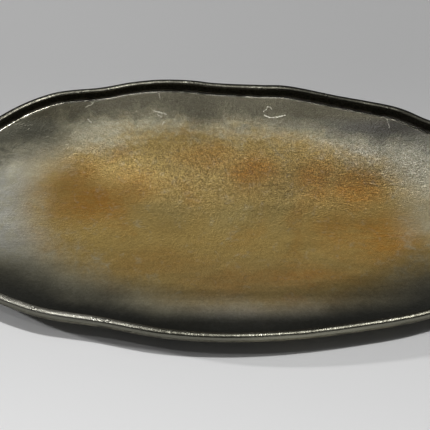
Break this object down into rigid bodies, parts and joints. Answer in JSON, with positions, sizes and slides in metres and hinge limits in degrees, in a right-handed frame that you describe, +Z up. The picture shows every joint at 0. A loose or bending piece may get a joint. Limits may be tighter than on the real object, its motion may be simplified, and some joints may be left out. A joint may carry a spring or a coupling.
{
  "type": "serving tray",
  "caption": "Low oval cast-metal serving tray with a softly cornered hand-formed outline, an upright rim, a dished floor and felt pads underneath, for carrying and displaying things on a table.",
  "frame": {"origin": "on the resting plane, under the middle of the tray's bounding box", "axes": "+X along the tray's long side, +Y across it towards the side seen as the far rim, +Z up out of the dish"},
  "size_m": [0.61, 0.342, 0.028],
  "materials": {
    "cast_metal": "cast, antiqued with a dark edge and a gold-copper centre, rim dressed bright",
    "adhesive": "matt adhesive foam",
    "felt": "pressed felt"
  },
  "bodies": {
    "root": {"tray_body": "cast_metal", "adhesive_disc_1": "adhesive", "adhesive_disc_2": "adhesive", "adhesive_disc_3": "adhesive", "adhesive_disc_4": "adhesive", "adhesive_disc_5": "adhesive", "adhesive_disc_6": "adhesive", "felt_pad_1": "felt", "felt_pad_2": "felt", "felt_pad_3": "felt", "felt_pad_4": "felt", "felt_pad_5": "felt", "felt_pad_6": "felt"}
  },
  "joints": []
}
